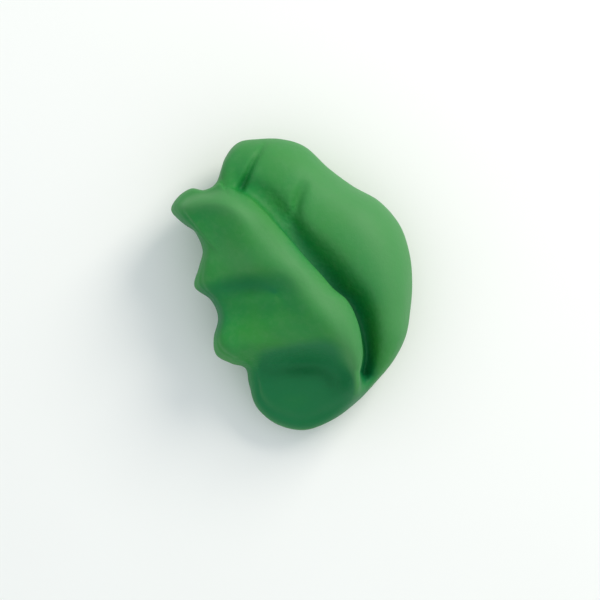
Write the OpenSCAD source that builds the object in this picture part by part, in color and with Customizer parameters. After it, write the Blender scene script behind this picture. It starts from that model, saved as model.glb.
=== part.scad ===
// Mouldable stress ball, shown holding the shape a closed fist left in it:
// a green latex outer skin over a second, inner skin packed with fine filling.
// Origin at the centre of the resting face, +Y along the fist, +Z up from the palm.

/* [Overall size] */
// Width across the palm, from finger side to thumb side
body_w = 84; // [64:1:110]
// Length along the fist, from little finger to index finger
body_l = 102; // [78:1:130]
// Height of the folded crest above the resting face
body_h = 41; // [32:1:54]
// Share of the outline that the resting face covers
foot_share = 0.68; // [0.5:0.02:0.8]

/* [Skins] */
// Wall of the green outer skin
outer_wall = 0.8; // [0.6:0.1:1]
// Wall of the inner skin
inner_wall = 0.5; // [0.4:0.1:0.8]
// Gap left between one layer and the next
layer_gap = 0.15; // [0.1:0.05:0.25]

/* [Closure] */
// Diameter of the round mouth in the outer skin
mouth_d = 13; // [10:0.5:20]
// Diameter of the fill hole in the inner skin
fill_d = 8; // [5:0.5:12]
// Gap between the seal disc or stopper and the hole it closes
fit_gap = 0.1; // [0.05:0.05:0.3]
// Diameter of the stopper's barb, inside the inner skin
barb_d = 10.5; // [8:0.5:16]
// Length of the stopper's barb
barb_len = 3.2; // [2:0.2:6]

/* [Surface] */
// Columns of facets between one station and the next
steps_round = 2; // [1:1:3]

/* [Hidden] */

green = [0.22, 0.51, 0.28];
latex = [0.86, 0.80, 0.66];
starch = [0.95, 0.94, 0.90];

// Stations clockwise round the ball from the nub at the upper left.
// Each is [outline x, y, fold edge x, y, crest z, valley share, valley z,
// roll share, roll z, rim z], with shares measured from fold edge to outline.
STATIONS = [
    [-41, 25, -36.5, 24.5, 24, 0.35, 21, 0.7, 19, 13],
    [-38.5, 29.5, -35.5, 27, 23.5, 0.35, 21, 0.7, 19, 13],
    [-34, 32.3, -32.3, 29, 24, 0.35, 22, 0.7, 19, 13],
    [-29.5, 31.5, -27.8, 29.4, 26, 0.35, 24, 0.7, 21, 13],
    [-25.5, 34, -23.8, 30.6, 28.5, 0.3, 26.5, 0.6, 24, 13],
    [-22.5, 43, -20.4, 30.6, 30.2, 0.2, 27.6, 0.55, 27, 13],
    [-18, 48.5, -17.2, 29.2, 30.8, 0.18, 27.6, 0.5, 28.3, 13],
    [-11, 49.8, -13.6, 27.2, 31.3, 0.18, 27.8, 0.46, 29.3, 13],
    [-3, 49.8, -10.2, 24.2, 31.8, 0.17, 27.6, 0.44, 30, 13],
    [5, 47.2, -6.8, 20.7, 32.2, 0.16, 27.4, 0.4, 30.5, 13],
    [13, 39.8, -2.8, 16.2, 32.7, 0.15, 26.8, 0.35, 31, 13],
    [21.5, 33.5, 1.2, 11.5, 33, 0.12, 25.2, 0.34, 31, 13],
    [30.5, 28.3, 5.2, 6.7, 33.3, 0.1, 24, 0.36, 31, 13],
    [37.5, 20, 9.7, 1.7, 33.6, 0.09, 22.5, 0.37, 30.8, 13],
    [40.8, 10, 13.7, -3, 33.8, 0.09, 21, 0.4, 30.3, 13],
    [41.6, 0, 18.2, -6.8, 33.6, 0.1, 20, 0.43, 29.3, 13],
    [41, -9, 21.1, -12, 33.2, 0.12, 19, 0.45, 28, 12],
    [39.3, -18.5, 23, -18.2, 32.6, 0.14, 18, 0.48, 26, 12],
    [35, -27, 23.6, -25, 31.4, 0.18, 16, 0.56, 22, 11],
    [29, -34.3, 22.3, -31.8, 28, 0.28, 13.5, 0.68, 16, 10],
    [22, -41.5, 19.8, -38.6, 21, 0.4, 14, 0.7, 12, 8],
    [14, -47.5, 12.8, -44, 13, 0.4, 11, 0.7, 10, 7],
    [4.5, -51, 4.2, -47.3, 11, 0.4, 10, 0.7, 9, 6],
    [-5, -49, -3.8, -45.5, 11.5, 0.4, 11, 0.7, 10, 6],
    [-12, -43, -9.5, -40.8, 12.5, 0.4, 12, 0.7, 10, 7],
    [-14.6, -35, -11.3, -34, 15.5, 0.4, 14, 0.7, 12, 8],
    [-15.8, -29.5, -13, -28.3, 20, 0.4, 18, 0.7, 15, 9],
    [-20.5, -27.8, -18, -24, 26, 0.4, 22, 0.7, 18, 12],
    [-25.5, -25, -21.5, -21.5, 27, 0.4, 23, 0.7, 19, 12],
    [-26.5, -19.5, -22.3, -18, 27, 0.4, 23, 0.7, 19, 12],
    [-25, -12, -21, -11.8, 26.5, 0.4, 23, 0.7, 19, 12],
    [-27.5, -6, -23, -7, 25.5, 0.4, 23, 0.7, 19, 12],
    [-33, -1.5, -27.5, -0.8, 27, 0.4, 23, 0.7, 19, 13],
    [-31.5, 5, -27, 5, 28, 0.4, 24, 0.7, 20, 13],
    [-30.2, 11, -26.3, 10.5, 28, 0.4, 24, 0.7, 20, 13],
    [-33, 17.5, -30, 15.5, 27.5, 0.4, 23, 0.7, 20, 13],
    [-38, 21.2, -34, 21, 25.5, 0.4, 22, 0.7, 19, 13]
];

// Heights of the flap inside the fold edge, each [x, y, z].
FLAP = [
    [-35, 23.5, 27.5], [-30, 23.5, 31.5], [-24, 24.5, 33.5], [-27, 20, 31], [-19.5, 21.5, 35],
    [-14.5, 15.5, 35.6], [-9, 9.5, 36.6], [-3, 2.5, 37.6], [3.5, -5, 38], [9.5, -11.5, 38],
    [13, -17, 37.3], [14.5, -24, 35],
    [-20, 12, 30.8], [-12, 6, 33.7], [-5, -1, 34.5], [1, -12, 34.5], [6, -19, 32.8],
    [9, -23.5, 30], [-19, 2, 31.2], [-14, -5, 30], [-15, -13, 28.5], [-6, -12, 31.5],
    [-9, -20, 29], [0, -19, 31.3], [-2, -25, 28], [-15, -20, 28.5],
    [-8, -32, 18.5], [1, -31, 20.5], [9, -31, 21.5], [14, -33, 20.5], [3, -37, 16.5],
    [-6, -38, 15.5], [12, -38, 16.5], [2, -43, 13.5]
];

// Ridges raised and grooves pressed by the fingers, each a run of
// [x, y, height, half-width]. A groove has a negative height.
PRESSES = [
    [[-24, -4, -1.6, 3.5], [-18, -2.3, -2.6, 3.6], [-12, -1.6, -3.3, 3.8],
        [-5, -2.6, -3.3, 4.2], [2, -6, -1.6, 5]],
    [[-21, -10.5, -1.4, 4.5], [-13, -11, -0.2, 4.5], [-6, -11, -1.6, 5], [1, -11, -1, 5]],
    [[-18, -21.5, 0.4, 4], [-11, -22.7, 1.4, 3.4], [-4, -22.5, 1.8, 3.6],
        [4, -21.5, 1.6, 3.8], [11, -20.5, 0.6, 4]],
    [[-11, -29.8, -1.5, 3.8], [-5, -28.8, -4.7, 3.8], [2, -28, -6.8, 4],
        [8, -27.4, -7.4, 4], [13, -28, -6, 4], [16, -31.5, -4, 3.8], [16.5, -36, -2, 3.4]],
    [[-6, -41, 0.6, 5], [-1, -42.5, 1.2, 5], [5, -42, 0.6, 5]],
    [[21, -25, 0, 3.4], [21.5, -30, 1.6, 3.2], [21, -34, 2.6, 3], [19.8, -38, 2, 3]],
    [[-14, 46, -0.8, 4], [-17.5, 41, -1.2, 4.5], [-20, 36, -1.2, 4]]
];

press_steps = 3;
// Presses come in over this height above the rim.
press_depth = 10;
// Distance over which one of the flap's heights gives way to the next.
flap_reach = 6.5;
// Facet rows in each band of the surface, from the middle out and under.
BAND_ROWS = [1, 3, 3, 2, 1, 1, 1, 1, 2, 2, 2, 1, 1, 1, 2, 2, 1];
// Bands that make up the flap, and the width of the blend at its edge.
flap_bands = 5;
flap_blend = 1.2;

// Smooth curve through b and c, with a and d on either side.
function curve(a, b, c, d, t) = 0.5 * (2 * b + (c - a) * t
    + (2 * a - 5 * b + 4 * c - d) * t * t + (3 * b - a - 3 * c + d) * t * t * t);

function mix(a, b, t) = a * (1 - t) + b * t;

function clamp01(t) = min(max(t, 0), 1);

function ease(t) = t * t * (3 - 2 * t);

function station(i, t) = let (n = len(STATIONS))
    curve(STATIONS[(i + n - 1) % n], STATIONS[i], STATIONS[(i + 1) % n],
        STATIONS[(i + 2) % n], t);

// Middle of the flap, where every column starts.
MIDDLE = [-5, -5];

KNOWN = concat([for (s = STATIONS) [s[2], s[3], s[4]]], FLAP);

function square_apart(a, x, y) = (a[0] - x) * (a[0] - x) + (a[1] - y) * (a[1] - y);

// Height of the flap at x, y, eased between the known heights around it.
function flap_z(x, y) = let (
        near = [for (k = KNOWN) exp(-square_apart(k, x, y) / (flap_reach * flap_reach))])
    near * [for (k = KNOWN) k[2]] / (near * [for (k = KNOWN) 1]);

// Height along the rounded rim where there is no fold, from crest to rim.
function rim_z(s, t) = s[9] + (s[4] - s[9]) * sqrt(1 - t * t);

// One point of a column outside the fold edge. Where the fold is open it lies
// at share f of the way to the outline and height z, and where it is closed
// it lies at share t on the rounded rim.
function outer_point(s, fold, f, z, t, lean = 0) = let (
        edge = [s[2], s[3]],
        way = [s[0], s[1]] - edge,
        open = edge + way * f + way / norm(way) * lean,
        shut = edge + way * t,
        p = mix(shut, open, fold))
    [p[0], p[1], mix(rim_z(s, t), z, fold)];

// A point of the flap, at a radius and a heading from its middle.
function flap_point(radius, heading) = let (
        p = MIDDLE + radius * [cos(heading), sin(heading)])
    [p[0], p[1], flap_z(p[0], p[1])];

function heading_of(s) = atan2(s[3] - MIDDLE[1], s[2] - MIDDLE[0]);

// The same angle, brought to between -180 and 180.
function wrapped(a) = a - 360 * round(a / 360);

// Control points of column j, from the middle of the flap, over the crest,
// down into the valley, up the outer roll, round the rim and under to the foot.
// Columns leave the middle at even headings and turn to meet the fold edge.
function column(s, j) = let (
        edge = [s[2], s[3]],
        span = norm([s[0], s[1]] - edge),
        fold = clamp01((span - 4) / 4),
        brow = edge - 3.2 * ([s[0], s[1]] - edge) / span,
        reach = norm(edge - MIDDLE),
        crown = reach - min(4 + 3 * fold, 0.35 * reach),
        even = heading_of(STATIONS[0]) - j * 360 / (len(STATIONS) * steps_round),
        turn = wrapped(heading_of(s) - even),
        v = s[5], vz = s[6], r = s[7], rz = s[8], cz = s[4], oz = s[9])
    [
        flap_point(0, even),
        flap_point(4, even + 0.2 * turn),
        flap_point(mix(4, crown, 0.35), even + 0.7 * turn),
        flap_point(mix(4, crown, 0.7), even + turn),
        flap_point(crown, even + turn),
        outer_point(s, fold, 0, flap_z(brow[0], brow[1]), 0.05, -3.2),
        outer_point(s, fold, 0, cz - min(2.4, 0.25 * (cz - vz)), 0.25, 0.3),
        outer_point(s, fold, 0, mix(cz, vz, 0.45), 0.42, 1.2),
        outer_point(s, fold, v * 0.62, mix(vz, cz, 0.1), 0.55),
        outer_point(s, fold, v, vz, 0.62),
        outer_point(s, fold, mix(v, r, 0.4), mix(vz, rz, 0.5), 0.72),
        outer_point(s, fold, mix(v, r, 0.8), mix(vz, rz, 0.92), 0.82),
        outer_point(s, fold, mix(1, r, 0.48), mix(rz, oz, 0.1), 0.9),
        outer_point(s, fold, 0.93, mix(oz, rz, 0.52), 0.97),
        [s[0], s[1], oz],
        [s[0] * 0.96, s[1] * 0.96, oz * 0.4],
        [s[0] * 0.82, s[1] * 0.82, oz * 0.07],
        [s[0] * foot_share, s[1] * foot_share, 0]
    ];

// Rounds a column off: each row is drawn between four control points.
function rounded(c) = let (
        n = len(c),
        e = concat([2 * c[0] - c[1]], c, [2 * c[n - 1] - c[n - 2]]))
    concat([for (k = [0 : n - 2], i = [0 : BAND_ROWS[k] - 1]) let (
            t = i / BAND_ROWS[k], u = 1 - t)
        (u * u * u * e[k] + (3 * t * t * t - 6 * t * t + 4) * e[k + 1]
            + (3 * u * u * u - 6 * u * u + 4) * e[k + 2] + t * t * t * e[k + 3]) / 6],
        [c[n - 1]]);

// Where each facet row lies, counted in bands.
ROW_BAND = concat([for (k = [0 : len(BAND_ROWS) - 1], i = [0 : BAND_ROWS[k] - 1])
    k + i / BAND_ROWS[k]], [len(BAND_ROWS)]);

// Each press as a run of soft round dabs: [x, y, height, half-width].
function run_of(p) = let (
        n = len(p),
        e = concat([2 * p[0] - p[1]], p, [2 * p[n - 1] - p[n - 2]]),
        q = concat([for (k = [0 : n - 2], i = [0 : press_steps - 1])
            curve(e[k], e[k + 1], e[k + 2], e[k + 3], i / press_steps)], [p[n - 1]]),
        m = len(q))
    [for (i = [0 : m - 1]) let (
            a = q[max(i - 1, 0)], b = q[min(i + 1, m - 1)],
            step = norm([b[0] - a[0], b[1] - a[1]]) / 2)
        [q[i][0], q[i][1], q[i][2] * step / (sqrt(PI) * q[i][3]), q[i][3]]];

DABS = [for (p = PRESSES) each run_of(p)];

function add(v, i = 0, sum = 0) = i == len(v) ? sum : add(v, i + 1, sum + v[i]);

function pressed(x, y) = add([for (d = DABS) let (
        r = square_apart(d, x, y) / (d[3] * d[3]))
    if (r < 9) d[2] * exp(-r)]);

// A drawn point with the flap's height settled and the presses added.
function shaped(p, band, oz) = let (
        inside = ease(clamp01((flap_bands - band) / flap_blend)),
        z = inside > 0 ? mix(p[2], flap_z(p[0], p[1]), inside) : p[2],
        above = ease(clamp01((z - oz) / press_depth)))
    [p[0], p[1], z + (above > 0 ? above * pressed(p[0], p[1]) : 0)];

DRAWN = [for (i = [0 : len(STATIONS) - 1], k = [0 : steps_round - 1]) let (
        s = station(i, k / steps_round),
        c = rounded(column(s, i * steps_round + k)))
    [for (r = [0 : len(c) - 1]) shaped(c[r], ROW_BAND[r], s[9])]];

cols = len(DRAWN);
rows = len(DRAWN[0]);

// The drawn shape is brought to the three overall sizes, and centred.
xs = [for (c = DRAWN, p = c) p[0]];
ys = [for (c = DRAWN, p = c) p[1]];
zs = [for (c = DRAWN, p = c) p[2]];
grow = [body_w / (max(xs) - min(xs)), body_l / (max(ys) - min(ys)), body_h / max(zs)];
mid = [(max(xs) + min(xs)) / 2, (max(ys) + min(ys)) / 2];

function sized(p) = [(p[0] - mid[0]) * grow[0], (p[1] - mid[1]) * grow[1],
    p[2] * grow[2]];

BODY = [for (c = DRAWN) [for (p = c) sized(p)]];

// A layer lies at a depth below the surface, measured square to it.
// The foot stays flat, at the same depth above the resting face.
function unit(v) = v / norm(v);

function square_to(j, r) = let (
        p = BODY[j][r],
        across = unit(BODY[(j + 1) % cols][r] - p)
            + unit(p - BODY[(j + cols - 1) % cols][r]),
        along = unit(BODY[j][r + 1] - p) + unit(p - BODY[j][r - 1]))
    unit(cross(across, along));

SQUARE = [for (j = [0 : cols - 1]) [for (r = [0 : rows - 1])
    r == 0 || r == rows - 1 ? [0, 0, 1] : square_to(j, r)]];

// Directions evened out with their neighbours', so that layers stay parallel.
function evened(j, r) = r == 0 || r == rows - 1 ? SQUARE[j][r]
    : unit(SQUARE[j][r] * 2 + SQUARE[(j + 1) % cols][r]
        + SQUARE[(j + cols - 1) % cols][r]
        + (r > 1 ? SQUARE[j][r - 1] : SQUARE[j][r])
        + (r < rows - 2 ? SQUARE[j][r + 1] : SQUARE[j][r]));

EVEN = [for (j = [0 : cols - 1]) [for (r = [0 : rows - 1]) evened(j, r)]];

// Depth at which the flat foot would shrink to a point, were the ball solid.
foot_draw = 40;

function foot_point(p, d) = [p[0] * (1 - d / foot_draw), p[1] * (1 - d / foot_draw), d];

function layer(d) = [for (j = [0 : cols - 1]) [for (r = [0 : rows - 1])
    r == rows - 1 ? foot_point(BODY[j][r], d) : BODY[j][r] - EVEN[j][r] * d]];

// Points of a layer row by row, the middle first, then each ring out to the foot.
function layer_points(g) = concat([g[0][0]],
    [for (r = [1 : rows - 1], j = [0 : cols - 1]) g[j][r]]);

function ring_at(d, z) = [for (j = [0 : cols - 1]) let (
        p = BODY[j][rows - 1])
    [p[0] / norm([p[0], p[1]]) * d / 2, p[1] / norm([p[0], p[1]]) * d / 2, z]];

// Facets between two rings of points that start at a and b.
function band_faces(a, b) = [for (j = [0 : cols - 1]) let (k = (j + 1) % cols)
    each [[a + j, a + k, b + k], [a + j, b + k, b + j]]];

function layer_faces(start) = concat(
    [for (j = [0 : cols - 1]) [start, start + 1 + (j + 1) % cols, start + 1 + j]],
    [for (r = [0 : rows - 3]) each
        band_faces(start + 1 + (r + 1) * cols, start + 1 + r * cols)]);

function flipped(faces) = [for (f = faces) [f[2], f[1], f[0]]];

layer_n = 1 + (rows - 1) * cols;

// A skin from depth d1 in to depth d2, open at a round hole in its foot.
module skin(d1, d2, hole_d) {
    rough_d = hole_d * 0.7;
    points = concat(layer_points(layer(d1)), ring_at(rough_d, d1),
        ring_at(rough_d, d2), layer_points(layer(d2)));
    out_foot = layer_n - cols;
    lip = layer_n;
    in_start = layer_n + 2 * cols;
    in_foot = in_start + layer_n - cols;
    faces = concat(layer_faces(0), band_faces(lip, out_foot),
        band_faces(lip + cols, lip), band_faces(in_foot, lip + cols),
        flipped(layer_faces(in_start)));
    difference() {
        polyhedron(points = points, faces = faces);
        translate([0, 0, d1 - 1])
            cylinder(h = d2 - d1 + 2, d = hole_d, $fn = 64);
    }
}

inner_depth = outer_wall + layer_gap;
core_depth = inner_depth + inner_wall + layer_gap;

module outer_skin() {
    color(green)
        skin(0, outer_wall, mouth_d);
}

module inner_skin() {
    color(latex)
        skin(inner_depth, inner_depth + inner_wall, fill_d);
}

// The packed filling, with the hollow that the stopper's barb presses into it.
module filling() {
    hollow_h = barb_len + 2 * layer_gap;
    color(starch)
        difference() {
            polyhedron(
                points = layer_points(layer(core_depth)),
                faces = concat(layer_faces(0),
                    [[for (j = [0 : cols - 1]) layer_n - cols + j]]));
            translate([0, 0, core_depth - 1])
                cylinder(h = hollow_h + 1, d = barb_d + 2 * fit_gap, $fn = 64);
        }
}

// Stopper in the inner skin's fill hole, held by a barb on the inside.
module fill_plug() {
    neck_h = inner_wall + 2 * layer_gap;
    color(latex)
        translate([0, 0, inner_depth]) {
            cylinder(h = neck_h, d = fill_d - 2 * fit_gap, $fn = 64);
            translate([0, 0, neck_h - layer_gap])
                cylinder(h = barb_len, d1 = barb_d, d2 = barb_d * 0.6, $fn = 64);
        }
}

// Disc of outer-skin latex bonded into the mouth, flush with the resting face.
module seal_disc() {
    color(green)
        cylinder(h = outer_wall, d = mouth_d - 2 * fit_gap, $fn = 64);
}

outer_skin();
inner_skin();
filling();
fill_plug();
seal_disc();
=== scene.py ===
"""A squeezed stress ball: green latex over packed filling, on a pale floor.

The outer surface is drawn the way the CAD model's is, from stations round the
outline, heights of the flap and runs of finger presses, on a much finer grid.
This script adds what the CAD model leaves out: the crest leaning over its
valley, the narrow creases and the small puckers. The heights of the lower lobe,
the nub and the little finger's groove also differ a little from the CAD model.
"""

import math

import bpy
import numpy as np
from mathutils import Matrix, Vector


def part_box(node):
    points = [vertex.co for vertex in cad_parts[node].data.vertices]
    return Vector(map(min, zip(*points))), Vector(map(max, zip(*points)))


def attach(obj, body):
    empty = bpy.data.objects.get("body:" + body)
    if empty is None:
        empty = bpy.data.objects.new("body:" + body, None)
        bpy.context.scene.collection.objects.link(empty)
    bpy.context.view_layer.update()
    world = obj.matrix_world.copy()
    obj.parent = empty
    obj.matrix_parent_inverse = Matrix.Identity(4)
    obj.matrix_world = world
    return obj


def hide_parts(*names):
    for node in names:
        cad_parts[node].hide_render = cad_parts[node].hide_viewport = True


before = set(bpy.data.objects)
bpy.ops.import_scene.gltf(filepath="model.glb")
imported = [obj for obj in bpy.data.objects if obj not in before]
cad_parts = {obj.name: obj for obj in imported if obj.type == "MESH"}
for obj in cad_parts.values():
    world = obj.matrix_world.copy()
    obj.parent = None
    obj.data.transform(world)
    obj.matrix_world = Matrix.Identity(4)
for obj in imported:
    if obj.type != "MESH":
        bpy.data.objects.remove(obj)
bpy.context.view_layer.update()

MM = 0.001

# ---------------------------------------------------------------- shape data
# Drawn in millimetres, then fitted to the CAD model's box.

# Stations clockwise round the ball from the nub at the upper left: outline x, y,
# fold edge x, y, crest z, valley share, valley z, roll share, roll z, rim z.
# Shares are measured from the fold edge to the outline.
STATIONS = np.array([
    [-41, 25, -36.5, 24.5, 24, 0.35, 21, 0.7, 19, 13],
    [-38.5, 29.5, -35.5, 27, 23.5, 0.35, 21, 0.7, 19, 13],
    [-34, 32.3, -32.3, 29, 24, 0.35, 22, 0.7, 19, 13],
    [-29.5, 31.5, -27.8, 29.4, 26, 0.35, 24, 0.7, 21, 13],
    [-25.5, 34, -23.8, 30.6, 28.5, 0.3, 26.5, 0.6, 24, 13],
    [-22.5, 43, -20.4, 30.6, 30.2, 0.2, 27.6, 0.55, 27, 13],
    [-18, 48.5, -17.2, 29.2, 30.8, 0.18, 27.6, 0.5, 28.3, 13],
    [-11, 49.8, -13.6, 27.2, 31.3, 0.18, 27.8, 0.46, 29.3, 13],
    [-3, 49.8, -10.2, 24.2, 31.8, 0.17, 27.6, 0.44, 30, 13],
    [5, 47.2, -6.8, 20.7, 32.2, 0.16, 27.4, 0.4, 30.5, 13],
    [13, 39.8, -2.8, 16.2, 32.7, 0.15, 26.8, 0.35, 31, 13],
    [21.5, 33.5, 1.2, 11.5, 33, 0.12, 25.2, 0.34, 31, 13],
    [30.5, 28.3, 5.2, 6.7, 33.3, 0.1, 24, 0.36, 31, 13],
    [37.5, 20, 9.7, 1.7, 33.6, 0.09, 22.5, 0.37, 30.8, 13],
    [40.8, 10, 13.7, -3, 33.8, 0.09, 21, 0.4, 30.3, 13],
    [41.6, 0, 18.2, -6.8, 33.6, 0.1, 20, 0.43, 29.3, 13],
    [41, -9, 21.1, -12, 33.2, 0.12, 19, 0.45, 28, 12],
    [39.3, -18.5, 23, -18.2, 32.6, 0.14, 18, 0.48, 26, 12],
    [35, -27, 23.6, -25, 31.4, 0.18, 16, 0.56, 22, 11],
    [29, -34.3, 22.3, -31.8, 28, 0.28, 13.5, 0.68, 16, 10],
    [22, -41.5, 19.8, -38.6, 21, 0.4, 14, 0.7, 12, 8],
    [14, -47.5, 12.8, -44, 13, 0.4, 11, 0.7, 10, 7],
    [4.5, -51, 4.2, -47.3, 11, 0.4, 10, 0.7, 9, 6],
    [-5, -49, -3.8, -45.5, 11.5, 0.4, 11, 0.7, 10, 6],
    [-12, -43, -9.5, -40.8, 12.5, 0.4, 12, 0.7, 10, 7],
    [-14.6, -35, -11.3, -34, 15.5, 0.4, 14, 0.7, 12, 8],
    [-15.8, -29.5, -13, -28.3, 20, 0.4, 18, 0.7, 15, 9],
    [-20.5, -27.8, -18, -24, 26, 0.4, 22, 0.7, 18, 12],
    [-25.5, -25, -21.5, -21.5, 27, 0.4, 23, 0.7, 19, 12],
    [-26.5, -19.5, -22.3, -18, 27, 0.4, 23, 0.7, 19, 12],
    [-25, -12, -21, -11.8, 26.5, 0.4, 23, 0.7, 19, 12],
    [-27.5, -6, -23, -7, 25.5, 0.4, 23, 0.7, 19, 12],
    [-33, -1.5, -27.5, -0.8, 27, 0.4, 23, 0.7, 19, 13],
    [-31.5, 5, -27, 5, 28, 0.4, 24, 0.7, 20, 13],
    [-30.2, 11, -26.3, 10.5, 28, 0.4, 24, 0.7, 20, 13],
    [-33, 17.5, -30, 15.5, 27.5, 0.4, 23, 0.7, 20, 13],
    [-38, 21.2, -34, 21, 25.5, 0.4, 22, 0.7, 19, 13],
])

# Heights of the flap inside the fold edge: x, y, z.
FLAP = np.array([
    [-35, 23.5, 27.5], [-30, 23.5, 31.5], [-24, 24.5, 33.5], [-27, 20, 31],
    [-19.5, 21.5, 35], [-14.5, 15.5, 35.6], [-9, 9.5, 36.6], [-3, 2.5, 37.6],
    [3.5, -5, 38], [9.5, -11.5, 38], [13, -17, 37.3], [14.5, -24, 35], [-20, 12, 30.8],
    [-12, 6, 33.7], [-5, -1, 34.5], [1, -12, 34.5], [6, -19, 32.8], [9, -23.5, 30],
    [-19, 2, 31.2], [-14, -5, 30], [-15, -13, 28.5], [-6, -12, 31.5], [-9, -20, 29],
    [0, -19, 31.3], [-2, -25, 28], [-15, -20, 28.5], [-5, -28, 19], [3, -28, 19.5],
    [10, -28, 20.5], [-8, -32, 18], [1, -31, 19], [9, -31, 20], [14, -33, 20],
    [3, -37, 16.5], [-6, -38, 15.5], [12, -38, 16.5], [2, -43, 13.5],
])

# Ridges raised (+) and grooves pressed (-) on the top: runs of x, y, height, half-width.
PRESSES = {
    "ring_step": [(-24, -4, -1.6, 3.5), (-18, -2.3, -2.6, 3.6), (-12, -1.6, -3.3, 3.8),
                  (-5, -2.6, -3.3, 4.2), (2, -6, -1.6, 5)],
    "ring_finger": [(-21, -10.5, -1.4, 4.5), (-13, -11, -0.2, 4.5), (-6, -11, -1.6, 5),
                    (1, -11, -1, 5)],
    "lip": [(-18, -21.5, 0.4, 4), (-11, -22.7, 1.4, 3.4), (-4, -22.5, 1.8, 3.6),
            (4, -21.5, 1.6, 3.8), (11, -20.5, 0.6, 4)],
    "little_finger": [(-11, -29.5, -1, 3.8), (-5, -28.3, -2.8, 3.8), (2, -27.5, -4, 4),
                      (8, -27, -4.6, 4), (13, -27.8, -4, 4), (16, -31.5, -3, 3.8),
                      (16.5, -36, -1.6, 3.4)],
    "lower_lobe": [(-6, -41, 0.6, 5), (-1, -42.5, 1.2, 5), (5, -42, 0.6, 5)],
    "crest_tail": [(21, -25, 0, 3.4), (21.5, -30, 1.6, 3.2), (21, -34, 2.6, 3),
                   (19.8, -38, 2, 3)],
    "left_lobe": [(-14, 46, -0.8, 4), (-17.5, 41, -1.2, 4.5), (-20, 36, -1.2, 4)],
}

# The narrow creases, and the sharper ridge along the nub, drawn the same way.
CREASES = {
    "nub_ridge": [(-38, 24, 1.5, 2.8), (-33, 24.8, 2.9, 3), (-27, 25.8, 2.9, 3.2),
                  (-20, 24.5, 2, 3.2), (-14, 19.5, 0.9, 3.2)],
    "lobe_crease": [(-8, 47.5, -0.2, 0.9), (-10, 44, -0.9, 0.9), (-12.8, 39, -1.5, 1),
                    (-15, 34, -2.1, 1.2), (-17, 30, -2.2, 1.4)],
    "roll_crease": [(5, 33.5, -0.2, 1.6), (3.5, 30, -1.2, 1.6), (2, 26, -1.8, 1.8),
                    (1.5, 21, -1.3, 2), (2, 16.5, -0.4, 2.5)],
}

# How closely the surface is drawn. BAND_ROWS has the rows from each control row to
# the next, from the middle of the flap to the foot.
STEPS_ROUND = 12
BAND_ROWS = [5, 12, 14, 10, 6, 7, 7, 6, 6, 7, 7, 6, 6, 6, 9, 8, 5]
PRESS_STEPS = 4

MIDDLE = np.array([-5.0, -5.0])     # where the columns meet, on the flap
FLAP_REACH = 6.5                    # how far each height of the flap is felt
FLAP_BANDS, FLAP_BLEND = 5, 1.2     # bands that belong to the flap, and their fade
BROW = 3.2                          # from the fold edge in to the last row of the flap
SHUT_SPAN, OPEN_SPAN = 4, 8         # fold edge to outline: no valley, and a full valley
FIRST_RING = 4                      # radius of the first row round the middle
SHOULDER = 2.4                      # drop from the crest to the shoulder of its wall
SHOULDER_SHARE = 0.25               # the same at most, as a share of the valley's depth
OVERHANG = 3.0                      # how far the highest crest leans over the valley
LEAN_FROM, LEAN_OVER = 31.5, 3      # crest height where it starts to lean, and the rise
PRESS_DEPTH = 10                    # height over the rim at which a press acts in full
FOOT_SHARE = 0.68                   # the resting face's share of the outline

# The layers, in metres. Between the skins there is EXTRA_GAP more room than in the
# CAD model, because the inner pieces are drawn on a coarser grid.
OUTER_WALL = 0.8 * MM
INNER_WALL = 0.5 * MM
GAP = 0.15 * MM
EXTRA_GAP = 0.2 * MM
MOUTH, FILL_HOLE = 13 * MM, 8 * MM  # diameters
FOOT_RADIUS = 40 * MM               # about, to shrink the foot by a layer's depth

# The inner pieces are also lowered under the folds: by how much, from which height
# and over what rise, in millimetres.
CORE_DROP, CORE_FROM, CORE_OVER = 1.8, 12, 10

# --------------------------------------------------------------- colour data
LATEX_GREEN = (0.006, 0.205, 0.036)
LATEX_GREEN_WARM = (0.02, 0.22, 0.029)
# Pale green, both for the random flecks and for the painted highlight.
LATEX_GREEN_PALE = (0.06, 0.245, 0.072)
# Deeper green for the painted shade.
LATEX_GREEN_SHADED = (0.0, 0.15, 0.044)
CREAM, CREAM_SHADE = (0.76, 0.68, 0.5), (0.66, 0.54, 0.33)
RUBBER, RUBBER_SHADE = (0.6, 0.55, 0.44), (0.5, 0.43, 0.31)
STARCH, STARCH_CLUMP = (0.88, 0.86, 0.79), (0.74, 0.70, 0.61)
FLOOR_DULL, FLOOR_PALE = (0.86, 0.855, 0.84), (0.89, 0.885, 0.875)
SKY, SKY_STRENGTH = (0.88, 0.95, 0.98), 0.86
WARM_LIGHT = (1, 0.95, 0.84)
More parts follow.
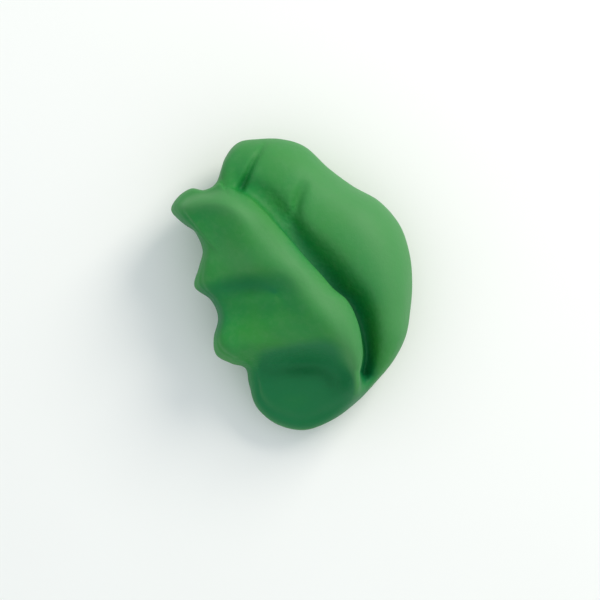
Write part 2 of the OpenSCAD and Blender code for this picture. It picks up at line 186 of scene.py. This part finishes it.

# Painted shade: where the green is painted deepest, to stand in for shade: x, y,
# strength, half-width.
PAINTED_SHADE = {
    "valley": [(6, 11, 0, 4), (13, 3, 0.2, 4), (21, -6, 0.15, 4), (25, -18, 0.15, 4),
               (26, -31, 0.6, 4)],
    "lip": [(-10, -25, 0.6, 3.8), (-3, -23.5, 0.9, 4), (4, -22.5, 1, 4.5),
            (11, -21.5, 1, 4.5), (16, -24, 0.5, 3.5)],
    "lobe": [(-9, -31, 0.9, 6), (0, -31, 1.3, 7), (9, -31, 1.3, 7), (15, -36, 1, 6)],
    "lobe_end": [(-22, -34, 0, 7), (-16, -38, 0.5, 8), (-4, -45, 0.8, 9),
                 (5, -47, 0.8, 9), (14, -45, 0.9, 9), (21, -41, 0.9, 8),
                 (27, -36, 0.6, 8), (36, -29, 0, 8)],
    "lobe_wall": [(-19, -30, 0, 6), (-14, -42, 0.4, 7), (-5, -49, 0.5, 7),
                  (5, -51, 0.5, 7), (14, -48, 0.5, 7), (22, -42.5, 0.4, 7),
                  (31, -34, 0, 7)],
    "left_edge": [(-32.5, -0.5, 0.6, 3), (-28.8, -6, 1, 4), (-25.5, -12.5, 0.8, 4),
                  (-26.5, -20, 0.3, 3.5)],
    "under_nub": [(-42, 23, 0.5, 3), (-37.5, 18.8, 0.9, 3.5), (-32.5, 13.5, 0.6, 3.5)],
    "ring_finger": [(-20, -6, 0.2, 4), (-10, -7, 0.35, 5), (2, -8, 0.35, 5),
                    (8, -13, 0.1, 5)],
    "ring_step": [(-27, -2, 0.5, 3.5), (-18, 0, 0.6, 3.5), (-9, 0.5, 0.6, 3.5),
                  (0, -2, 0.3, 3.5)],
}

# Painted highlight: where the green is painted palest, to stand in for light.
PAINTED_HIGHLIGHT = {
    "crest": [(-36, 27.5, 0.9, 3), (-25, 28.5, 1, 3.5), (-15, 22.5, 0.8, 4),
              (-5, 10.5, 0.8, 4.5), (6, -2.5, 0.8, 4.5), (15, -11, 0.8, 4.5),
              (19.5, -21, 0.8, 4), (20.5, -32, 0.8, 2.2), (19.5, -38, 0.5, 2)],
    "middle_finger": [(-28, 15, 0.3, 5), (-20, 8, 0.5, 6), (-12, 4, 0.4, 6)],
    "roll": [(8, 40, 0.3, 7), (26, 24, 0.5, 8), (37, 5, 0.6, 7), (37, -15, 0.4, 5)],
}

# Where it puckers.
PUCKERS = {
    "between_creases": [(-7, 29, 0.9, 4), (-3, 26, 1, 4.5), (0, 22, 0.9, 4),
                        (4, 16, 0.6, 4)],
    "valley": [(8, 10, 0.5, 4), (16, 2, 0.6, 4.5), (24, -8, 0.5, 4), (28, -20, 0.6, 4),
               (27, -30, 0.5, 4)],
    "under_lip": [(-20, -26, 0.5, 3), (-10, -27, 0.8, 3.5), (0, -26, 0.7, 4),
                  (10, -24, 0.5, 4)],
}

# Heights over the floor, in millimetres, from which the painted highlight and painted
# shade are full and there are puckers. Lower down they fade out, and the skin is smooth.
PAINTED_HIGHLIGHT_FROM, PAINTED_SHADE_FROM, PUCKER_FROM = 8, 13, 8

# How many rows and columns away the skin is compared with its neighbours, to tell
# humps from hollows, and how much a millimetre of either changes the colour: humps get
# painted highlight, hollows painted shade.
NEIGHBOURS = [1, 2, 4, 6] * 6
HUMP_HIGHLIGHT, HOLLOW_SHADE = 0.1, 0.2
MOST_COLOUR = 0.9
PUCKER_ALL_OVER = 0.08


# ------------------------------------------------------------ curves and sums
def curve(a, b, c, d, t):
    """Smooth curve from b to c, with a and d on either side."""
    return 0.5 * (2 * b + (c - a) * t + (2 * a - 5 * b + 4 * c - d) * t * t
                  + (3 * b - a - 3 * c + d) * t ** 3)


def ease(t):
    """Rises smoothly from 0 to 1 as t does."""
    t = np.clip(t, 0, 1)
    return t * t * (3 - 2 * t)


def closed_curve(points, steps):
    before, after = np.roll(points, 1, 0), np.roll(points, -1, 0)
    later = np.roll(points, -2, 0)
    parts = [curve(before, points, after, later, k / steps) for k in range(steps)]
    return np.stack(parts, 1).reshape(-1, points.shape[1])


def open_curve(points, steps):
    points = np.array(points, float)
    ends = np.vstack([2 * points[0] - points[1], points, 2 * points[-1] - points[-2]])
    out = [curve(*ends[i:i + 4], k / steps)
           for i in range(len(points) - 1) for k in range(steps)]
    return np.vstack([out, points[-1:]])


def run_height(x, y, run):
    """Height that a run of soft round dabs adds at x, y."""
    line = open_curve(run, PRESS_STEPS)
    gap = np.hypot(*np.gradient(line[:, :2], axis=0).T)
    total = np.zeros_like(x)
    for (px, py, height, width), step in zip(line, gap):
        share = step / (math.sqrt(math.pi) * width)
        total += height * share * np.exp(-((x - px) ** 2 + (y - py) ** 2) / width ** 2)
    return total


def runs_height(x, y, runs):
    return sum(run_height(x, y, run) for run in runs.values())


# ---------------------------------------------------------------- the surface
def flap_z(p):
    """Height of the flap at each point, eased between the listed heights."""
    known = np.vstack([STATIONS[:, 2:5], FLAP])
    apart = np.sum((p[:, None] - known[:, :2]) ** 2, axis=-1)
    near = np.exp(-apart / FLAP_REACH ** 2)
    return near @ known[:, 2] / near.sum(1)


def mixed(a, b, share):
    share = np.broadcast_to(share, len(a))[:, None]
    return a * (1 - share) + b * share


def polar(radius, angle):
    """Points at a radius and an angle from the middle of the flap."""
    return MIDDLE + np.c_[radius * np.cos(angle), radius * np.sin(angle)]


def control_rows(s):
    """Control points of every column, from the middle of the flap to the foot."""
    rim, edge = s[:, 0:2], s[:, 2:4]
    crest, v, vz, r, rz, rim_z = s[:, 4:].T
    span = np.linalg.norm(rim - edge, axis=1)
    way = (rim - edge) / span[:, None]
    fold = np.clip((span - SHUT_SPAN) / (OPEN_SPAN - SHUT_SPAN), 0, 1)
    lean = OVERHANG * ease((crest - LEAN_FROM) / LEAN_OVER)
    drop = np.minimum(SHOULDER, SHOULDER_SHARE * (crest - vz))

    # The columns leave the middle evenly and turn to meet the fold edge.
    reach = np.linalg.norm(edge - MIDDLE, axis=1)
    facing = np.unwrap(np.arctan2(*(edge - MIDDLE).T[::-1]))
    even = facing[0] - np.arange(len(s)) * 2 * math.pi / len(s)
    crown_reach = reach - np.minimum(4 + 3 * fold, 0.35 * reach)
    spread_reach = crown_reach - FIRST_RING

    def flap(radius, turned):
        p = polar(radius, even * (1 - turned) + facing * turned)
        return np.c_[p, flap_z(p)]

    def outer(share, z, t, lean=0.0):
        """A row outside the fold edge: share and z where there is a valley, and a
        plain round edge, at t of the way out, where there is none."""
        opened = edge + way * (share * span + lean)[:, None]
        shut = edge + way * (t * span)[:, None]
        shut_z = rim_z + (crest - rim_z) * math.sqrt(1 - t * t)
        return np.c_[mixed(shut, opened, fold), shut_z * (1 - fold) + z * fold]

    none = np.zeros(len(s))
    return np.array([
        # The flap.
        flap(none, 0),
        flap(none + FIRST_RING, 0.2),
        flap(FIRST_RING + spread_reach * 0.35, 0.7),
        flap(FIRST_RING + spread_reach * 0.7, 1),
        flap(crown_reach, 1),
        # The crest, and its wall down to the valley.
        outer(none, flap_z(edge - BROW * way), 0.05, none - BROW),
        outer(none, crest - drop, 0.25, 0.55 * lean + 0.2),
        outer(none, crest * 0.6 + vz * 0.4, 0.42, -0.8 * lean),
        outer(v * 0.3, vz + (crest - vz) * 0.12, 0.55, -1.2 * lean),
        # The valley, the roll beyond it, and the side down to the rim.
        outer(v, vz, 0.62),
        outer(v * 0.6 + r * 0.4, vz * 0.5 + rz * 0.5, 0.72),
        outer(v * 0.2 + r * 0.8, vz * 0.08 + rz * 0.92, 0.82),
        outer(r * 0.48 + 0.52, rz * 0.9 + rim_z * 0.1, 0.9),
        outer(none + 0.93, rim_z + 0.52 * (rz - rim_z), 0.97),
        # The rim and the underside.
        np.c_[rim * 1.005, rim_z],
        np.c_[rim * 0.96, rim_z * 0.4],
        np.c_[rim * 0.82, rim_z * 0.07],
        np.c_[rim * FOOT_SHARE, none],
    ])


def rounded(rows, band_rows):
    """Draws each row between four control rows, the last row being the foot itself."""
    ends = np.concatenate([2 * rows[:1] - rows[1:2], rows, 2 * rows[-1:] - rows[-2:-1]])
    out = []
    for k, n in enumerate(band_rows):
        for t in np.arange(n) / n:
            u = 1 - t
            out.append((u ** 3 * ends[k] + (3 * t ** 3 - 6 * t * t + 4) * ends[k + 1]
                        + (3 * u ** 3 - 6 * u * u + 4) * ends[k + 2]
                        + t ** 3 * ends[k + 3]) / 6)
    return np.array(out + [rows[-1]])


def body_grid(steps_round, band_rows):
    """Points of the ball's outer surface in metres: rows by columns by 3."""
    columns = closed_curve(STATIONS, steps_round)
    grid = rounded(control_rows(columns), band_rows)

    # Rounding the rows wears the flap down, so its heights are put back.
    band = np.concatenate([k + np.arange(n) / n for k, n in enumerate(band_rows)])
    inside = ease((FLAP_BANDS - band[band < FLAP_BANDS]) / FLAP_BLEND)[:, None]
    flap = grid[:len(inside)]
    heights = flap_z(flap.reshape(-1, 3)[:, :2]).reshape(flap.shape[:2])
    flap[..., 2] += (heights - flap[..., 2]) * inside

    x, y, z = np.moveaxis(grid, -1, 0)
    above_rim = ease((z - columns[:, 9]) / PRESS_DEPTH)
    grid[..., 2] += above_rim * (runs_height(x, y, PRESSES) + runs_height(x, y, CREASES))

    low, high = (np.array(c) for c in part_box("outer_skin"))
    points = grid.reshape(-1, 3)
    least, most = points.min(0), points.max(0)
    least[2] = 0
    return (grid - least) / (most - least) * (high - low) + low


def core_grid():
    """The surface that the inner pieces follow, lowered where the folds are sharp."""
    grid = body_grid(STEPS_ROUND // 2, BAND_ROWS)
    grid[..., 2] -= CORE_DROP * MM * ease((grid[..., 2] / MM - CORE_FROM) / CORE_OVER)
    return grid


def normals(grid):
    """Unit normals of a grid that closes round its columns."""
    across = np.roll(grid, -1, 1) - np.roll(grid, 1, 1)
    along = np.gradient(grid, axis=0)
    n = np.cross(across, along)
    n /= np.linalg.norm(n, axis=-1, keepdims=True) + 1e-12
    n[0] = (0, 0, 1)
    n[-1] = (0, 0, -1)
    return n


def sunk(grid, depth):
    """The grid moved in by depth, its foot kept flat."""
    out = grid - normals(grid) * depth
    out[-1] = grid[-1] * (1 - depth / FOOT_RADIUS)
    out[-1, :, 2] = depth
    return out


def spread(grid, steps):
    """The grid smoothed over its neighbours, to tell hollows from humps."""
    out = grid.copy()
    for k in steps:
        up, down = np.roll(out, k, 0), np.roll(out, -k, 0)
        up[:k], down[-k:] = out[:k], out[-k:]
        out = (out * 2 + np.roll(out, k, 1) + np.roll(out, -k, 1) + up + down) / 6
    return out


# -------------------------------------------------------------------- meshes
def ring(radius, z, like):
    """A ring of points round the Z axis, each in line with a column of like."""
    flat = like[:, :2] / np.linalg.norm(like[:, :2], axis=1, keepdims=True) * radius
    return np.c_[flat, np.full(len(like), z)]


def band_faces(a, b, columns):
    """Faces between the rings of points that start at a and at b."""
    j = np.arange(columns)
    k = (j + 1) % columns
    return np.c_[a + j, a + k, b + k, b + j]


def cap_faces(middle, first, columns):
    """Faces from one middle point to the ring of points that starts at first."""
    j = np.arange(columns)
    return np.c_[np.full(columns, middle), first + j, first + (j + 1) % columns]


def layer_parts(grid, start):
    """Points and faces of one layer, its middle first and then each row."""
    rows, columns = grid.shape[:2]
    points = np.vstack([grid[0, :1], grid[1:].reshape(-1, 3)])
    quads = [band_faces(start + 1 + (r + 1) * columns, start + 1 + r * columns, columns)
             for r in range(rows - 2)]
    return points, cap_faces(start, start + 1, columns), np.vstack(quads)


def per_point(values):
    """Values of a grid in the order of a layer's points."""
    return np.concatenate([values[0, :1], values[1:].ravel()])


def new_object(name, points, faces, slot, material, replaced):
    mesh = bpy.data.meshes.new(name)
    mesh.from_pydata(points.tolist(), [], faces)
    mesh.polygons.foreach_set("use_smooth", [True] * len(mesh.polygons))
    mesh.materials.append(material)
    mesh.update()
    piece = bpy.data.objects.new(name, mesh)
    bpy.context.collection.objects.link(piece)
    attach(piece, "root")
    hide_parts(replaced)
    return piece


def skin(name, grid, depth, wall, hole, **look):
    """A bag from depth to depth + wall under the surface, with a round hole below."""
    columns = grid.shape[1]
    outside = sunk(grid, depth) if depth else grid
    inside = sunk(grid, depth + wall)
    out_points, out_cap, out_quads = layer_parts(outside, 0)
    outer_lip = len(out_points)
    inner_lip = outer_lip + columns
    lips = np.vstack([ring(hole / 2, depth, grid[-1]),
                      ring(hole / 2, depth + wall, grid[-1])])
    in_points, in_cap, in_quads = layer_parts(inside, inner_lip + columns)
    points = np.vstack([out_points, lips, in_points])
    quads = np.vstack([
        out_quads,
        band_faces(outer_lip, outer_lip - columns, columns),
        band_faces(inner_lip, outer_lip, columns),
        band_faces(len(points) - columns, inner_lip, columns),
        in_quads[:, ::-1],
    ])
    faces = out_cap.tolist() + in_cap[:, ::-1].tolist() + quads.tolist()
    return new_object(name, points, faces, **look)


def solid(name, grid, **look):
    """A solid that fills the grid, its foot closed by one flat face."""
    points, cap, quads = layer_parts(grid, 0)
    foot = list(range(len(points) - grid.shape[1], len(points)))
    return new_object(name, points, cap.tolist() + quads.tolist() + [foot], **look)


def add_attribute(piece, name, values):
    """Stores one number on each of a piece's first points, and 0 on the rest."""
    every = np.zeros(len(piece.data.vertices))
    every[:len(values)] = values
    layer = piece.data.attributes.new(name, "FLOAT", "POINT")
    layer.data.foreach_set("value", every)


def mark_skin(piece, grid):
    """Tells the green latex where highlight and shade are painted on it, and where it
    puckers.
    """
    hump = np.sum((grid - spread(grid, NEIGHBOURS)) * normals(grid), axis=-1) / MM
    x, y, z = np.moveaxis(grid / MM, -1, 0)
    highlight_runs = runs_height(x, y, PAINTED_HIGHLIGHT) * ease(z / PAINTED_HIGHLIGHT_FROM)
    shade_runs = runs_height(x, y, PAINTED_SHADE) * ease(z / PAINTED_SHADE_FROM)
    pucker = np.clip(PUCKER_ALL_OVER + runs_height(x, y, PUCKERS), 0, 1)
    # Painted highlight: the listed runs, and the humps.
    painted_highlight = np.clip(highlight_runs + hump * HUMP_HIGHLIGHT, 0, MOST_COLOUR)
    # Painted shade: the listed runs, and the hollows.
    fold = np.clip(shade_runs - hump * HOLLOW_SHADE, 0, MOST_COLOUR)
    add_attribute(piece, "painted_highlight", per_point(painted_highlight))
    add_attribute(piece, "fold", per_point(fold))
    add_attribute(piece, "pucker", per_point(pucker * (z > PUCKER_FROM)))


# ----------------------------------------------------------------- materials
class Surface:
    """A new material, with short ways to add nodes and feed its shader."""

    def __init__(self, name):
        self.material = bpy.data.materials.new(name)
        self.material.use_nodes = True
        self.nodes = self.material.node_tree.nodes
        self.links = self.material.node_tree.links
        self.inputs = self.nodes["Principled BSDF"].inputs
        self.coords = self.nodes.new("ShaderNodeTexCoord").outputs["Object"]

    def feed(self, socket, value):
        self.links.new(value, self.inputs[socket])

    def noise(self, scale, detail, roughness=0.5):
        """Noise with about scale lumps to the metre."""
        node = self.nodes.new("ShaderNodeTexNoise")
        node.inputs["Scale"].default_value = scale
        node.inputs["Detail"].default_value = detail
        node.inputs["Roughness"].default_value = roughness
        self.links.new(self.coords, node.inputs["Vector"])
        return node.outputs["Fac"]

    def attribute(self, name):
        node = self.nodes.new("ShaderNodeAttribute")
        node.attribute_name = name
        return node.outputs["Fac"]

    def remap(self, value, low, high, to_low, to_high):
        node = self.nodes.new("ShaderNodeMapRange")
        for socket, number in zip(("From Min", "From Max", "To Min", "To Max"),
                                  (low, high, to_low, to_high)):
            node.inputs[socket].default_value = number
        self.links.new(value, node.inputs["Value"])
        return node.outputs["Result"]

    def mix(self, factor, a, b):
        """Mixes two colours, each a colour or a socket, by a socket's factor."""
        node = self.nodes.new("ShaderNodeMix")
        node.data_type = "RGBA"
        self.links.new(factor, node.inputs["Factor"])
        for value, socket in ((a, node.inputs["A"]), (b, node.inputs["B"])):
            if isinstance(value, tuple):
                socket.default_value = (*value, 1)
            else:
                self.links.new(value, socket)
        return node.outputs["Result"]

    def times(self, a, b):
        node = self.nodes.new("ShaderNodeMath")
        node.operation = "MULTIPLY"
        self.links.new(a, node.inputs[0])
        self.links.new(b, node.inputs[1])
        return node.outputs["Value"]

    def bump(self, height, distance, below=None):
        """Raises the surface by up to distance, over another bump if there is one."""
        node = self.nodes.new("ShaderNodeBump")
        node.inputs["Distance"].default_value = distance
        node.inputs["Strength"].default_value = 1.0
        self.links.new(height, node.inputs["Height"])
        if below:
            self.links.new(below, node.inputs["Normal"])
        return node.outputs["Normal"]


def green_latex():
    """Satin latex, its green painted paler where light falls and deeper where shade
    falls.
    """
    latex = Surface("green_latex")
    cloud = latex.noise(55, 4)
    fleck = latex.noise(420, 3, 0.6)
    lumps = latex.noise(260, 2)
    grain = latex.noise(1900, 2, 0.6)
    pucker = latex.noise(520, 2, 0.45)

    base = latex.mix(latex.remap(cloud, 0.35, 0.65, 0, 1), LATEX_GREEN, LATEX_GREEN_WARM)
    base = latex.mix(latex.remap(fleck, 0.45, 0.75, 0, 0.35), base, LATEX_GREEN_PALE)
    # Painted highlight: paler green from the stretch attribute.
    base = latex.mix(latex.attribute("painted_highlight"), base, LATEX_GREEN_PALE)
    # Painted shade: deeper green from the fold attribute.
    base = latex.mix(latex.attribute("fold"), base, LATEX_GREEN_SHADED)
    latex.feed("Base Color", base)

    latex.feed("Roughness", latex.remap(cloud, 0.3, 0.7, 0.5, 0.62))
    latex.inputs["Specular IOR Level"].default_value = 0.25
    latex.inputs["Subsurface Weight"].default_value = 0.08
    latex.inputs["Subsurface Radius"].default_value = (0.3, 1.0, 0.4)
    latex.inputs["Subsurface Scale"].default_value = 2 * MM

    normal = latex.bump(lumps, 0.08 * MM)
    puckered = latex.times(pucker, latex.attribute("pucker"))
    normal = latex.bump(puckered, 0.45 * MM, normal)
    normal = latex.bump(grain, 0.03 * MM, normal)
    latex.feed("Normal", normal)
    return latex.material


def dusted_rubber(name, colour, shade):
    """Plain latex or soft rubber, unevenly dusted with starch."""
    rubber = Surface(name)
    dust = rubber.remap(rubber.noise(140, 5, 0.6), 0.4, 0.65, 0, 1)
    rubber.feed("Base Color", rubber.mix(dust, shade, colour))
    rubber.feed("Roughness", rubber.remap(dust, 0, 1, 0.45, 0.75))
    rubber.feed("Normal", rubber.bump(rubber.noise(1500, 3, 0.6), 0.05 * MM))
    return rubber.material


def packed_starch():
    """Fine white filling, matt, with grains and slightly darker clumps."""
    starch = Surface("packed_starch")
    clumps = starch.noise(180, 5, 0.65)
    grains = starch.noise(2600, 4, 0.7)
    tone = starch.remap(clumps, 0.35, 0.7, 0, 1)
    starch.feed("Base Color", starch.mix(tone, STARCH, STARCH_CLUMP))
    starch.inputs["Roughness"].default_value = 0.95
    normal = starch.bump(clumps, 0.6 * MM)
    starch.feed("Normal", starch.bump(grains, 0.15 * MM, normal))
    return starch.material


# -------------------------------------------------------------------- pieces
def build_ball():
    """The two skins and the filling, and the looks of the stopper and the disc."""
    grid = body_grid(STEPS_ROUND, BAND_ROWS)
    green = green_latex()
    outer = skin("outer_latex", grid, 0, OUTER_WALL, MOUTH,
                 slot="outer_latex", material=green, replaced="outer_skin")
    mark_skin(outer, grid)

    core = core_grid()
    inner_depth = OUTER_WALL + GAP + EXTRA_GAP
    cream = dusted_rubber("cream_latex", CREAM, CREAM_SHADE)
    skin("inner_latex", core, inner_depth, INNER_WALL, FILL_HOLE,
         slot="inner_latex", material=cream, replaced="inner_skin")
    solid("packed_filling", sunk(core, inner_depth + INNER_WALL + GAP),
          slot="packed_filling", material=packed_starch(), replaced="filling")

    # The stopper and the disc keep their CAD shapes.
    stopper = dusted_rubber("stopper_rubber", RUBBER, RUBBER_SHADE)
    for node, material in (("fill_plug", stopper), ("seal_disc", green)):
        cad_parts[node].material_slots[0].material = material


# --------------------------------------------------------- floor, light, camera
def studio():
    """A wide pale floor under an even pale sky."""
    half = 3.0                                  # metres
    mesh = bpy.data.meshes.new("floor")
    mesh.from_pydata([(-half, -half, 0), (half, -half, 0), (half, half, 0),
                      (-half, half, 0)], [], [(0, 1, 2, 3)])
    floor = bpy.data.objects.new("floor", mesh)
    bpy.context.collection.objects.link(floor)
    paint = Surface("pale_floor")
    paint.feed("Base Color", paint.mix(paint.noise(9, 2), FLOOR_DULL, FLOOR_PALE))
    paint.inputs["Roughness"].default_value = 0.9
    mesh.materials.append(paint.material)

    world = bpy.context.scene.world or bpy.data.worlds.new("world")
    bpy.context.scene.world = world
    world.use_nodes = True
    background = world.node_tree.nodes["Background"]
    background.inputs["Color"].default_value = (*SKY, 1)
    background.inputs["Strength"].default_value = SKY_STRENGTH
    bpy.context.scene.view_settings.view_transform = "Standard"


def area_light(name, azimuth, elevation, distance, size, power, colour):
    """A soft square light. Azimuth is from +X towards +Y, elevation above the floor."""
    light = bpy.data.lights.new(name, "AREA")
    light.shape, light.size = "SQUARE", size
    light.energy, light.color = power, colour
    lamp = bpy.data.objects.new(name, light)
    bpy.context.collection.objects.link(lamp)
    a, e = math.radians(azimuth), math.radians(elevation)
    away = np.array([math.cos(a) * math.cos(e), math.sin(a) * math.cos(e), math.sin(e)])
    lamp.location = away * distance
    lamp.rotation_euler = Vector(-away).to_track_quat("-Z", "Y").to_euler()


def camera():
    """Looks almost straight down, the ball a little left of and above the middle."""
    lens, sensor, tilt = 85.0, 36.0, math.radians(2)
    field = 207 * MM                            # what the frame's width takes in
    aim = np.array([2.9, -5.5, 20]) * MM
    distance = field * lens / sensor
    data = bpy.data.cameras.new("camera")
    data.lens, data.sensor_width = lens, sensor
    data.clip_start, data.clip_end = 0.01, 20
    view = bpy.data.objects.new("camera", data)
    bpy.context.collection.objects.link(view)
    view.rotation_euler = (tilt, 0, 0)
    view.location = aim + distance * np.array([0, -math.sin(tilt), math.cos(tilt)])
    bpy.context.scene.camera = view


build_ball()
studio()
area_light("key", azimuth=46, elevation=35, distance=1.1, size=0.5, power=7.7,
           colour=WARM_LIGHT)
camera()
